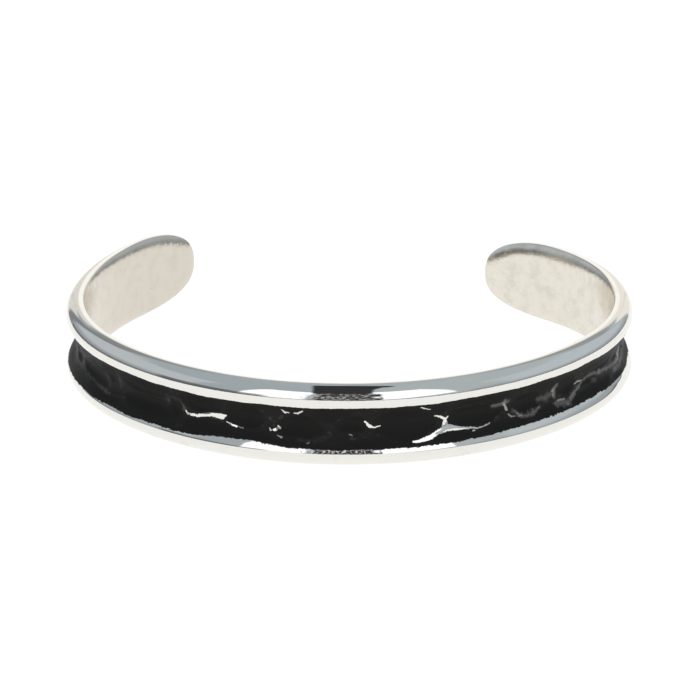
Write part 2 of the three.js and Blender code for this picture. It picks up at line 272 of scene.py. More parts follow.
class CuffStudio(bpy.types.PropertyGroup):
    """Camera, floor and surroundings."""

    target: FloatVectorProperty(
        name="Camera target", description="Point in the middle of the picture",
        default=(0.000078, -0.003979, 0.00505), subtype="XYZ", unit="LENGTH", precision=5)
    azimuth: in_degrees("Camera azimuth", "Turn round the cuff from the front", -0.165)
    elevation: in_degrees("Camera elevation", "Angle of the camera above the floor", 21.61)
    roll: in_degrees("Camera roll", "Tilt of the camera about its own axis", -0.21)
    distance: in_metres("Camera distance", "From the camera to its target", 0.4628)
    lens: FloatProperty(
        name="Lens", description="Focal length", default=197.4, unit="CAMERA")
    floor_size: in_metres("Floor size", "Side of the pale floor", 0.7)
    floor_left: in_metres(
        "Floor to the left", "From the cuff's middle to the floor's left edge", 0.085)
    floor_glow: FloatProperty(
        name="Floor glow", description="How evenly lit the floor is", default=0.965, min=0.0)


# Shape of the flat band

def bends_of(sizes, side):
    """Radius and length of each bend of one arm, from the front centre to its tip."""
    if side == LEFT:
        rest = ((sizes.left_shoulder_radius, sizes.left_shoulder_length),
                (sizes.left_end_radius, sizes.left_end_length))
    else:
        rest = ((sizes.right_shoulder_radius, sizes.right_shoulder_length),
                (sizes.right_end_radius, sizes.right_end_length))
    return ((sizes.front_radius, sizes.front_half_length),) + rest


def arm_length(sizes, side):
    return sum(length for _, length in bends_of(sizes, side))


def arm_path(sizes, side, steps=800):
    """Points (x, y) of the inner face of one arm, at even steps from the front centre."""
    bends = bends_of(sizes, side)
    step = arm_length(sizes, side) / steps
    middle = (np.arange(steps) + 0.5) * step
    curvature = np.full(steps, 1 / bends[0][0])
    joint = 0.0
    for before, after in zip(bends, bends[1:]):
        joint += before[1]
        share = 1 / (1 + np.exp(-4 * (middle - joint) / sizes.bend_blend))
        curvature += share * (1 / after[0] - 1 / before[0])
    turned = np.concatenate([[0.0], np.cumsum(curvature * step)])
    heading = (turned[:-1] + turned[1:]) / 2
    x = np.concatenate([[0.0], np.cumsum(np.cos(heading) * step)])
    y = np.concatenate([[0.0], np.cumsum(np.sin(heading) * step)])
    return side * x, y


def edge_distance(sizes, tip_share, height):
    """Distance from the band's outline measured on its face, round the ends too."""
    half = sizes.height / 2
    power = sizes.tip_power
    rise = np.abs(height) / half
    level = np.maximum((tip_share ** power + rise ** power) ** (1 / power), 1e-6)
    slope_along = (tip_share / level) ** (power - 1) / sizes.tip_length
    slope_up = (rise / level) ** (power - 1) / half
    slope = np.maximum(np.hypot(slope_along, slope_up), 1e-9)
    return np.clip((1 - level) / slope, 0, half)


def round_swell(distance, width, height, power=2.0):
    """Rise of a rounded edge. At power 2 it is an ellipse, below 2 it runs out more gently."""
    rest = 1 - np.minimum(distance / height, 1)
    return width * np.maximum(1 - rest ** power, 0) ** (1 / power)


def outer_offset(sizes, distance):
    """Offset of the outer face from the inner one: bead, short wall, lip and hollow channel."""
    crown = sizes.inner_round_width + sizes.crown_flat
    bead = crown + round_swell(distance, sizes.thickness - crown, sizes.outer_round_height)
    rim_height = sizes.outer_round_height + sizes.rim_wall
    channel_half = sizes.height / 2 - rim_height
    fall = np.maximum(distance - rim_height, 0) / channel_half
    return bead - sizes.cove_depth * np.sin(fall * math.pi / 2) ** sizes.cove_power


def inner_offset(sizes, distance):
    swell = round_swell(distance, sizes.inner_round_width, sizes.inner_round_height,
                        sizes.inner_round_power)
    return sizes.inner_round_width - swell


def ground_half_height(sizes):
    return sizes.height / 2 - sizes.outer_round_height - sizes.rim_wall - sizes.lip_height


def mirrored_rows(depths, half):
    """Row heights from -1 to 1 for distances below the upper edge."""
    lower = [depth / half - 1 for depth in depths]
    return lower + [-row for row in reversed(lower[:-1])]


def curved_rows(height, count):
    """Distances from the edge to the given height, closer together at the edge."""
    quarter = math.pi / 2
    return [height * (1 - math.cos(quarter * i / count)) for i in range(count + 1)]


def section_rows(sizes):
    """Rows of points up the outer face and up the inner face, as shares of the half height."""
    half = sizes.height / 2
    rim_height = sizes.outer_round_height + sizes.rim_wall
    ground_top = rim_height + sizes.lip_height
    outer = curved_rows(sizes.outer_round_height, BEAD_ROWS)
    outer += [rim_height + sizes.lip_height * i / LIP_ROWS for i in range(LIP_ROWS)]
    outer += [ground_top + (half - ground_top) * i / GROUND_ROWS for i in range(GROUND_ROWS + 1)]
    inner = curved_rows(sizes.inner_round_height, INNER_ROWS)
    inner += [inner[-1] + (half - inner[-1]) * i / INNER_ROWS for i in range(1, INNER_ROWS + 1)]
    return np.array(mirrored_rows(outer, half)), np.array(mirrored_rows(inner, half))


def station_places(sizes):
    """Signed distances of the stations from the front centre, closer together near the tips."""
    left_start = -(arm_length(sizes, LEFT) - sizes.tip_length)
    right_start = arm_length(sizes, RIGHT) - sizes.tip_length
    count = round((right_start - left_start) / sizes.station_pitch)
    middle = np.linspace(left_start, right_start, count + 1)
    turn = np.linspace(0, math.pi / 2, sizes.tip_stations + 1)[1:]
    reach = np.minimum(np.sin(turn), TIP_REACH) * sizes.tip_length
    return np.concatenate([(left_start - reach)[::-1], middle, right_start + reach])


def flat_blank(sizes):
    """Mesh of the band laid out flat: x along it, -y outward, z about its mid height."""
    half = sizes.height / 2
    places = station_places(sizes)
    ends = np.where(places < 0, arm_length(sizes, LEFT), arm_length(sizes, RIGHT))
    tip_share = np.clip(1 - (ends - np.abs(places)) / sizes.tip_length, 0, 1)
    reach = half * (1 - tip_share ** sizes.tip_power) ** (1 / sizes.tip_power)
    outer, inner = section_rows(sizes)
    rows = np.concatenate([outer, inner[::-1]])
    on_outer = np.arange(len(rows)) < len(outer)

    height = reach[:, None] * rows[None, :]
    distance = edge_distance(sizes, tip_share[:, None], height)
    offset = np.where(on_outer, outer_offset(sizes, distance), inner_offset(sizes, distance))
    along = np.repeat(places[:, None], len(rows), axis=1)
    points = np.stack([along, -offset, height], axis=-1).reshape(-1, 3)

    size = len(rows)
    station = np.arange(len(places) - 1)[:, None] * size
    low = station + np.arange(size)[None, :]
    high = station + np.roll(np.arange(size), -1)[None, :]
    quads = np.stack([low, low + size, high + size, high], axis=-1).reshape(-1, 4)
    row_zone = blank_zones(sizes, distance, on_outer)

    left_cap = list(range(size))
    right_cap = [(len(places) - 1) * size + i for i in reversed(range(size))]
    mesh = bpy.data.meshes.new("flat_blank")
    mesh.from_pydata(points.tolist(), [], quads.tolist() + [left_cap, right_cap])
    mesh.update()
    ground = half - ground_half_height(sizes)
    fade = np.clip((distance - ground) / ground_half_height(sizes), 0, 1)
    put_floats(mesh, "fade", "POINT", np.where(on_outer, np.sin(fade * math.pi / 2), 0))
    put_floats(mesh, "edge", "POINT", distance)
    centres = points[quads].mean(axis=1)[:, [0, 2]] / MM
    put_nearest_lines(mesh, "bare", BARE_LINES, centres)
    put_nearest_lines(mesh, "smoky", SMOKY_LINES, centres)
    put_floats(mesh, "zone", "FACE", np.concatenate([row_zone.ravel(), [RIM_ZONE, RIM_ZONE]]))
    return mesh


def blank_zones(sizes, distance, on_outer):
    """Zone of each quad: rim, channel or inner face."""
    rim_height = sizes.outer_round_height + sizes.rim_wall
    mean = (distance[:-1] + distance[1:]) / 2
    mean = (mean + np.roll(mean, -1, axis=1)) / 2
    outer = np.where(mean > rim_height, CHANNEL_ZONE, RIM_ZONE)
    inner = np.where(mean > POLISHED_INNER_EDGE, INNER_ZONE, RIM_ZONE)
    return np.where(on_outer[None, :], outer, inner)


def put_floats(mesh, name, domain, values, kind="FLOAT", field="value"):
    attribute = mesh.attributes.new(name, kind, domain)
    attribute.data.foreach_set(field, np.ascontiguousarray(values, np.float32).ravel())


def put_vectors(mesh, name, domain, values):
    put_floats(mesh, name, domain, values, "FLOAT_VECTOR", "vector")


def put_nearest_lines(mesh, name, lines, centres):
    """Gives each face the ends and the shine of the drawn line that lies nearest to it."""
    best = np.full(len(centres), np.inf)
    choice = np.zeros(len(centres), int)
    parts = [(line[0], first, last) for line in lines for first, last in zip(line[1:], line[2:])]
    for number, (_, first, last) in enumerate(parts):
        start, run = np.array(first[:2]), np.subtract(last[:2], first[:2])
        share = np.clip((centres - start) @ run / (run @ run), 0, 1)
        off = np.linalg.norm(centres - start - share[:, None] * run, axis=1)
        off -= first[2] + (last[2] - first[2]) * share
        choice = np.where(off < best, number, choice)
        best = np.minimum(off, best)
    ends = np.array([[(first[0], first[2], first[1]), (last[0], last[2], last[1])]
                     for _, first, last in parts])[choice]
    shine = np.array([part[0] for part in parts])[choice]
    # The two end caps have no line, so their shine is nought
    pad = np.zeros((2, 3))
    put_vectors(mesh, name + "_from", "FACE", np.concatenate([ends[:, 0], pad]))
    put_vectors(mesh, name + "_to", "FACE", np.concatenate([ends[:, 1], pad + 1]))
    put_floats(mesh, name + "_shine", "FACE", np.concatenate([shine, (0, 0)]))


def dent_points(sizes):
    """One point for each dent: its place on the flat band, and its half length, height, depth."""
    ground = ground_half_height(sizes)
    places, shapes = [], []
    for side, dents in ((LEFT, LEFT_DENTS), (RIGHT, RIGHT_DENTS)):
        for along, up, long, tall, deep in dents:
            places.append((side * along * arm_length(sizes, side), 0.0, up * ground))
            shapes.append((long * 2 * ground, tall * 2 * ground, deep * sizes.dent_depth))
    mesh = bpy.data.meshes.new("dent_points")
    mesh.from_pydata(places, [], [])
    put_vectors(mesh, "dent_shape", "POINT", shapes)
    return mesh


def wrist_curve(sizes):
    """Curve of the inner face from the left tip to the right one, the front centre at the origin."""
    left_x, left_y = arm_path(sizes, LEFT)
    right_x, right_y = arm_path(sizes, RIGHT)
    x = np.concatenate([left_x[:0:-1], right_x])
    y = np.concatenate([left_y[:0:-1], right_y])
    curve = bpy.data.curves.new("wrist_curve", "CURVE")
    curve.dimensions = "3D"
    spline = curve.splines.new("POLY")
    spline.points.add(len(x) - 1)
    points = np.stack([x, y, np.zeros(len(x)), np.ones(len(x))], axis=-1)
    spline.points.foreach_set("co", points.astype(np.float32).ravel())
    return curve


# Building node trees

class Nodes:
    """Short ways to add and join the nodes of one tree."""

    def __init__(self, tree):
        self.tree = tree

    def add(self, kind, inputs=None, **settings):
        node = self.tree.nodes.new(kind)
        for name, value in settings.items():
            setattr(node, name, value)
        return self.fill(node, inputs or {})

    def fill(self, node, inputs):
        for name, value in inputs.items():
            self.put(node.inputs[name], value)
        return node

    def put(self, socket, value):
        if isinstance(value, bpy.types.NodeSocket):
            self.tree.links.new(value, socket)
        else:
            socket.default_value = value

    def math(self, operation, first, second=0.0, third=0.0, clamp=False):
        return self.add("ShaderNodeMath", {0: first, 1: second, 2: third},
                        operation=operation, use_clamp=clamp).outputs[0]

    def times(self, first, *others):
        for other in others:
            first = self.math("MULTIPLY", first, other)
        return first

    def plus(self, first, second):
        return self.math("ADD", first, second)

    def minus(self, first, second):
        return self.math("SUBTRACT", first, second)

    def scaled_plus(self, value, factor, added):
        return self.math("MULTIPLY_ADD", value, factor, added)

    def axis(self, vector, name):
        return self.add("ShaderNodeSeparateXYZ", {0: vector}).outputs[name]

    def combined(self, **axes):
        return self.add("ShaderNodeCombineXYZ", axes).outputs[0]

    def named(self, name, kind="FLOAT"):
        return self.add("GeometryNodeInputNamedAttribute", {"Name": name},
                        data_type=kind).outputs["Attribute"]

    def store(self, shape, name, value, kind="FLOAT"):
        inputs = {"Geometry": shape, "Name": name, "Value": value}
        return self.add("GeometryNodeStoreNamedAttribute", inputs, data_type=kind,
                        domain="POINT").outputs["Geometry"]

    def vector(self, operation, first, second=(0.0, 0.0, 0.0)):
        node = self.add("ShaderNodeVectorMath", {0: first, 1: second}, operation=operation)
        return node.outputs["Value" if operation in ("DOT_PRODUCT", "LENGTH") else "Vector"]

    def scaled(self, vector, factor):
        node = self.add("ShaderNodeVectorMath", {0: vector, "Scale": factor}, operation="SCALE")
        return node.outputs["Vector"]

    def ramp(self, value, low, high, to_low=0.0, to_high=1.0, smooth=True):
        kind = "SMOOTHSTEP" if smooth else "LINEAR"
        inputs = {"Value": value, "From Min": low, "From Max": high,
                  "To Min": to_low, "To Max": to_high}
        return self.add("ShaderNodeMapRange", inputs, interpolation_type=kind).outputs["Result"]

    def mix(self, factor, first, second):
        inputs = {"Factor": factor, 6: as_colour(first), 7: as_colour(second)}
        return self.add("ShaderNodeMix", inputs, data_type="RGBA").outputs[2]

    def blend(self, factor, first, second):
        inputs = {"Factor": factor, 2: first, 3: second}
        return self.add("ShaderNodeMix", inputs, data_type="FLOAT").outputs[0]

    def noise(self, vector, scale, detail=2.0, roughness=0.5):
        inputs = {"Vector": vector, "Scale": scale, "Detail": detail, "Roughness": roughness}
        return self.add("ShaderNodeTexNoise", inputs).outputs[0]

    def nudged(self, vector, scale, detail, reach):
        """The vector moved about by noise, by up to half the reach on each axis."""
        noise = self.add("ShaderNodeTexNoise", {"Vector": vector, "Scale": scale, "Detail": detail})
        away = self.vector("SUBTRACT", noise.outputs["Color"], (0.5, 0.5, 0.5))
        return self.vector("ADD", vector, self.scaled(away, reach))


def as_colour(value):
    """A node's colour as it is, or three numbers as an opaque colour."""
    return value if isinstance(value, bpy.types.NodeSocket) else (*value, 1.0)


def new_group(name, kind, inputs, outputs):
    """Empty node group, the values that it is given, and the sockets for what it makes.

    Each socket is listed with its kind, or with the number that it starts from.
    """
    tree = bpy.data.node_groups.new(name, kind)
    for direction, sockets in (("INPUT", inputs), ("OUTPUT", outputs)):
        for label, value in sockets.items():
            kind_of_socket = value if isinstance(value, str) else "Float"
            socket = tree.interface.new_socket(
                label, in_out=direction, socket_type="NodeSocket" + kind_of_socket)
            if kind_of_socket != value:
                socket.default_value = value
    given, made = tree.nodes.new("NodeGroupInput"), tree.nodes.new("NodeGroupOutput")
    return tree, given.outputs, made.inputs


# Geometry Nodes: hammer the blank and bend it

def hammer_and_bend_tree():
    """Presses the dents into the flat blank, then bends it along the wrist curve."""
    tree, given, made = new_group(
        "Hammer And Bend", "GeometryNodeTree",
        {"Geometry": "Geometry", "Dents": "Object", "Wrist Curve": "Object",
         "Left Length": 0.07, "Wander": DENT_WANDER, "Grit": GRIT_HEIGHT,
         "Rim": "Material", "Channel": "Material", "Inner Face": "Material"},
        {"Geometry": "Geometry"})
    tree.is_modifier = True
    n = Nodes(tree)
    position = n.add("GeometryNodeInputPosition").outputs["Position"]
    wandered = n.nudged(position, 550.0, 2.0, given["Wander"])
    shape = n.store(given["Geometry"], "wandered", wandered, "FLOAT_VECTOR")
    shape = n.store(shape, "relief", 0.0)
    shape = n.store(shape, "second", 0.0)

    dents = n.add("GeometryNodeObjectInfo", {"Object": given["Dents"]}).outputs["Geometry"]
    count = n.add("GeometryNodeAttributeDomainSize", {"Geometry": dents}).outputs["Point Count"]
    begin = n.add("GeometryNodeRepeatInput")
    finish = n.add("GeometryNodeRepeatOutput")
    begin.pair_with_output(finish)
    n.put(begin.inputs["Iterations"], count)
    n.put(begin.inputs["Geometry"], shape)
    index = begin.outputs["Iteration"]
    centre, form = (
        n.add("GeometryNodeSampleIndex", {"Geometry": dents, "Value": value, "Index": index},
              data_type="FLOAT_VECTOR", domain="POINT").outputs["Value"]
        for value in (position, n.named("dent_shape", "FLOAT_VECTOR")))
    away = n.vector("SUBTRACT", n.named("wandered", "FLOAT_VECTOR"), centre)
    across = n.math("DIVIDE", n.axis(away, "X"), n.axis(form, "X"))
    up = n.math("DIVIDE", n.axis(away, "Z"), n.axis(form, "Y"))
    bowl = n.minus(1.0, n.plus(n.times(across, across), n.times(up, up)))
    cap = n.times(n.axis(form, "Z"), bowl)
    relief = n.named("relief")
    second = n.math("MAXIMUM", n.named("second"), n.math("MINIMUM", relief, cap))
    inside = n.store(begin.outputs["Geometry"], "second", second)
    inside = n.store(inside, "relief", n.math("MAXIMUM", relief, cap))
    n.put(finish.inputs["Geometry"], inside)
    shape = finish.outputs["Geometry"]

    deepest, runner_up, fade = n.named("relief"), n.named("second"), n.named("fade")
    gap = n.minus(deepest, runner_up)
    shape = n.store(shape, "ridge", n.times(n.ramp(gap, 0.0, RIDGE_WIDTH, 1.0, 0.0), fade))
    shape = n.store(shape, "place", n.scaled(position, 1 / MM), "FLOAT_VECTOR")

    grit = n.times(n.minus(n.noise(position, 900.0, 3.0), 0.5), given["Grit"])
    pressed = n.times(n.plus(deepest, grit), fade)
    outward = n.times(n.plus(n.axis(position, "Y"), pressed), -1.0)
    curve = n.add("GeometryNodeObjectInfo", {"Object": given["Wrist Curve"]})
    length = n.plus(n.axis(position, "X"), given["Left Length"])
    walked = n.add("GeometryNodeSampleCurve", {"Curves": curve.outputs["Geometry"],
                                               "Length": length}, mode="LENGTH")
    tangent = walked.outputs["Tangent"]
    normal = n.combined(X=n.axis(tangent, "Y"), Y=n.times(n.axis(tangent, "X"), -1.0))
    bent = n.vector("ADD", walked.outputs["Position"], n.scaled(normal, outward))
    bent = n.vector("ADD", bent, n.combined(Z=n.axis(position, "Z")))
    shape = n.add("GeometryNodeSetPosition", {"Geometry": shape, "Position": bent})
    shape = n.add("GeometryNodeSetShadeSmooth", {"Geometry": shape.outputs[0]}).outputs[0]
    shape = n.add("GeometryNodeRealizeInstances", {"Geometry": shape}).outputs[0]
    for label, zone in (("Rim", RIM_ZONE), ("Channel", CHANNEL_ZONE), ("Inner Face", INNER_ZONE)):
        here = n.math("COMPARE", n.named("zone"), float(zone), 0.5)
        painted = n.add("GeometryNodeSetMaterial", {
            "Geometry": shape, "Selection": here, "Material": given[label]})
        shape = painted.outputs["Geometry"]
    n.put(made["Geometry"], shape)
    return tree


def put_inputs(modifier, values):
    """Sets a modifier's inputs by the identifiers of their sockets."""
    for socket in modifier.node_group.interface.items_tree:
        if socket.item_type == "SOCKET" and socket.in_out == "INPUT" and socket.name in values:
            modifier[socket.identifier] = values[socket.name]


def linked_object(name, data):
    thing = bpy.data.objects.new(name, data)
    bpy.context.scene.collection.objects.link(thing)
    return thing


def finished_mesh(source, name):
    """Plain mesh object made from the evaluated source, with the source removed."""
    bpy.context.view_layer.update()
    depsgraph = bpy.context.evaluated_depsgraph_get()
    mesh = bpy.data.meshes.new_from_object(
        source.evaluated_get(depsgraph), preserve_all_data_layers=True, depsgraph=depsgraph)
    mesh.name = name
    bpy.data.objects.remove(source)
    return linked_object(name, mesh)


def settle_in_frame(piece):
    """Moves the mesh so that its box shares its middle and its floor with the CAD band's box."""
    co = np.zeros(len(piece.data.vertices) * 3, np.float32)
    piece.data.vertices.foreach_get("co", co)
    co = co.reshape(-1, 3)
    low, high = co.min(0), co.max(0)
    wanted = (BAND_LOW + BAND_HIGH) / 2
    shift = Vector((wanted.x - (low[0] + high[0]) / 2,
                    wanted.y - (low[1] + high[1]) / 2,
                    BAND_LOW.z - low[2]))
    piece.data.transform(Matrix.Translation(shift))
    piece.data.update()


# Shader node groups

def stroke_group():
    """Mask of a tapering line on the flat band: its ends are (along, half width, rise)."""
    tree, given, made = new_group(
        "Worn Line", "ShaderNodeTree",
        {"Place": "Vector", "From": "Vector", "To": "Vector", "Shine": 1.0, "Softness": 0.06},
        {"Mask": "Float"})
    n = Nodes(tree)
    flat = (1.0, 0.0, 1.0)
    run = n.vector("MULTIPLY", n.vector("SUBTRACT", given["To"], given["From"]), flat)
    away = n.vector("SUBTRACT", given["Place"], given["From"])
    away = n.vector("MULTIPLY", away, flat)
    share = n.math("DIVIDE", n.vector("DOT_PRODUCT", away, run),
                   n.vector("DOT_PRODUCT", run, run), clamp=True)
    off = n.vector("LENGTH", n.vector("SUBTRACT", away, n.scaled(run, share)))
    width = n.blend(share, n.axis(given["From"], "Y"), n.axis(given["To"], "Y"))
    inside = n.math("DIVIDE", n.minus(width, off), given["Softness"])
    mask = n.ramp(inside, -0.6, 0.7)
    n.put(made["Mask"], n.times(mask, given["Shine"]))
    return tree


def polish_group():
    """Polishing marks: fine lines along the band, faint tarnish and slow hand waviness."""
    tree, given, made = new_group(
        "Silver Polish", "ShaderNodeTree",
        {"Place": "Vector", "Line Density": 9.0, "Seed": 0.0},
        {"Lines": "Float", "Tarnish": "Float", "Wave": "Float", "Pits": "Float"})
    n = Nodes(tree)
    shifted = n.vector("ADD", given["Place"], n.combined(X=given["Seed"]))
    drawn = n.vector("MULTIPLY", shifted, (0.35, 1.0, 3.0))
    n.put(made["Lines"], n.noise(drawn, given["Line Density"], 4.0, 0.65))
    n.put(made["Tarnish"], n.noise(shifted, 0.55, 4.0, 0.6))
    n.put(made["Wave"], n.noise(shifted, 0.22, 1.0, 0.4))
    spots = n.add("ShaderNodeTexVoronoi", {"Vector": shifted, "Scale": 0.9}, feature="F1")
    reach = n.ramp(n.axis(spots.outputs["Color"], "X"), 0.6, 1.0, 0.0, 0.11, smooth=False)
    n.put(made["Pits"], n.math("LESS_THAN", spots.outputs["Distance"], reach))
    return tree


def empty_nodes(owner):
    """The emptied nodes of a material or a world."""
    owner.use_nodes = True
    owner.node_tree.nodes.clear()
    return Nodes(owner.node_tree)


def surface_material(name):
    """Material with one principled shader, and the nodes and the shader to work on."""
    material = bpy.data.materials.new(name)
    n = empty_nodes(material)
    shader = n.add("ShaderNodeBsdfPrincipled")
    n.add("ShaderNodeOutputMaterial", {"Surface": shader.outputs["BSDF"]})
    return material, n, shader


def band_value(n, name, output):
    return n.add("ShaderNodeAttribute", attribute_name=name,
                 attribute_type="GEOMETRY").outputs[output]


def polish_marks(n, polish, place, density, seed=0.0):
    """The polish group's outputs at a place on the band."""
    return n.add("ShaderNodeGroup", {"Place": place, "Line Density": density, "Seed": seed},
                 node_tree=polish).outputs


def put_bump(n, shader, height, strength, distance):
    bump = n.add("ShaderNodeBump", {"Height": height, "Strength": strength, "Distance": distance})
    n.put(shader.inputs["Normal"], bump.outputs["Normal"])


def rim_material(finish, polish):
    """Mirror polished silver with fine polishing lines."""
    material, n, shader = surface_material("polished_rims")
    marks = polish_marks(n, polish, band_value(n, "place", "Vector"), 7.0)
    dull = tuple(0.93 * c for c in finish.silver)
    tarnish = n.ramp(marks["Tarnish"], 0.52, 0.78)
    rough = n.scaled_plus(n.ramp(marks["Lines"], 0.35, 0.75), 0.02, finish.rim_roughness)
    n.fill(shader, {
        "Base Color": n.mix(tarnish, finish.silver, dull),
        "Roughness": n.scaled_plus(tarnish, 0.03, rough), "Metallic": 1.0})
    height = n.scaled_plus(marks["Wave"], 6.0, n.times(marks["Lines"], 0.3))
    put_bump(n, shader, height, 0.25, 0.000012)
    return material


def inner_material(finish, polish):
    """Satin silver of the inner face with a soft grain, cast pits and painted shade to the left."""
    material, n, shader = surface_material("satin_inner_face")
    place = band_value(n, "place", "Vector")
    marks = polish_marks(n, polish, place, 4.0, seed=31.0)
    tarnish = n.ramp(marks["Tarnish"], 0.42, 0.72)
    dull = tuple(0.86 * c for c in finish.satin_silver)
    colour = n.mix(tarnish, finish.satin_silver, dull)
    # Painted shade: the inner face's colour darkens towards the left end of the band
    left_painted_shade = n.ramp(n.axis(place, "X"), -70.0, 70.0, 0.6, 0.0)
    colour = n.mix(left_painted_shade, colour, (0.6, 0.545, 0.47))
    mottle = n.ramp(n.noise(place, 1.9, 3.0, 0.6), 0.35, 0.7)
    colour = n.mix(n.times(mottle, 0.2), colour, dull)
    pits = n.times(marks["Pits"], 0.5)
    n.fill(shader, {
        "Base Color": n.mix(pits, colour, (0.22, 0.2, 0.17)),
        "Roughness": n.scaled_plus(mottle, 0.06, finish.inner_roughness), "Metallic": 1.0})
    put_bump(n, shader, n.scaled_plus(marks["Wave"], 5.0, mottle), 0.3, 0.00003)
    return material


def worn_mask(n, place, stroke, name, softness):
    """Mask of the line that lies nearest to each face."""
    return n.add("ShaderNodeGroup", {
        "Place": place, "Softness": softness, "From": band_value(n, name + "_from", "Vector"),
        "To": band_value(n, name + "_to", "Vector"),
        "Shine": band_value(n, name + "_shine", "Fac")}, node_tree=stroke).outputs["Mask"]


def jagged_place(n, place, scale, reach):
    """Place on the flat band, nudged about so that drawn marks get ragged edges."""
    return n.vector("MULTIPLY", n.nudged(place, scale, 3.0, reach), (1.0, 0.0, 1.0))


def lip_mask(n, place, paint_edge):
    """Mask of the bare lip along both borders of the channel, with a ragged painted border."""
    # The borders lean with the distance from the front, as far as the shoulders
    along = n.math("MAXIMUM", n.math("MINIMUM", n.axis(place, "X"), 36.0), -36.0)
    up = n.axis(place, "Z")
    low_side = n.ramp(up, -0.5, 0.5, 1.0, 0.0)
    lean = n.times(along, n.math("SIGN", up), 0.005)
    slow_place = n.vector("MULTIPLY", place, (0.28, 0.0, 0.35))
    ragged = n.times(n.minus(n.noise(place, 2.8, 5.0, 0.7), 0.5), n.blend(low_side, 0.2, 0.6))
    edge = n.plus(n.times(band_value(n, "edge", "Fac"), 1 / MM), lean)
    edge = n.plus(edge, n.scaled_plus(n.noise(slow_place, 1.0), 0.5, -0.25))
    # Three stretches of the border are worn wider
    worn_left = n.times(n.ramp(along, -19.0, -14.0), n.ramp(along, -11.0, -6.0, 1.0, 0.0), 0.4)
    worn_right = n.times(n.ramp(along, 12.0, 20.0), 0.28)
    worn_high = n.times(n.ramp(along, -26.0, -16.0), n.ramp(along, 8.0, 14.0, 0.15, 0.0))
    worn = n.blend(low_side, worn_high, n.plus(worn_left, worn_right))
    edge = n.plus(n.minus(edge, worn), ragged)
    return n.ramp(edge, paint_edge - 0.02, paint_edge + 0.02, 1.0, 0.0)


def channel_material(finish, polish, stroke, paint_edge):
    """Blackened silver, worn through on some ridges, with the bare lip at both borders."""
    material, n, shader = surface_material("blackened_channel")
    place = band_value(n, "place", "Vector")
    marks = polish_marks(n, polish, place, 7.0, seed=57.0)
    crisp = worn_mask(n, jagged_place(n, place, 4.5, 0.27), stroke, "bare", 0.05)
    smoky = worn_mask(n, jagged_place(n, place, 2.2, 0.8), stroke, "smoky", 0.45)
    bare = n.math("MAXIMUM", lip_mask(n, place, paint_edge), crisp)

    smoke = n.ramp(n.noise(place, 1.1, 4.0, 0.62), 0.5, 0.75)
    rubbed = n.times(band_value(n, "ridge", "Fac"), n.ramp(smoke, 0.2, 0.9, 0.1, 1.0))
    grey = tuple(4.5 * c for c in finish.black)
    black = n.mix(n.times(rubbed, 0.7), finish.black, grey)
    thinned = n.math("MAXIMUM", n.times(smoky, n.ramp(smoke, 0.0, 0.8, 0.6, 1.5)), bare)
    grain = n.noise(place, 14.0, 3.0, 0.6)
    rough = n.scaled_plus(grain, 0.16, finish.black_roughness - 0.08)
    polished = n.scaled_plus(marks["Lines"], 0.05, finish.rim_roughness)
    n.fill(shader, {
        "Base Color": n.mix(thinned, black, finish.silver),
        "Metallic": n.math("MAXIMUM", thinned, n.times(rubbed, 0.25)),
        "Roughness": n.blend(bare, rough, polished), "Specular IOR Level": 0.04})
    put_bump(n, shader, n.plus(n.times(grain, n.minus(1.0, bare)), n.times(bare, 1.5)),
             0.4, 0.00002)
    return material


# Studio

def panel_group():
    """Mask of one panel of the studio, a soft-edged rectangle of directions in degrees."""
    tree, given, made = new_group(
        "Studio Panel", "ShaderNodeTree",
        {"Azimuth": 0.0, "Elevation": 0.0, "Left": 0.0, "Right": 0.0, "Bottom": 0.0, "Top": 0.0,
         "Softness": 2.0},
        {"Mask": "Float"})
    n = Nodes(tree)
    masks = []
    for value, low, high in (("Azimuth", "Left", "Right"), ("Elevation", "Bottom", "Top")):
        above = n.minus(given[value], given[low])
        below = n.minus(given[high], given[value])
        for side in (above, below):
            steps = n.math("DIVIDE", side, given["Softness"])
            masks.append(n.ramp(steps, -0.5, 0.5))
    n.put(made["Mask"], n.times(*masks))
    return tree


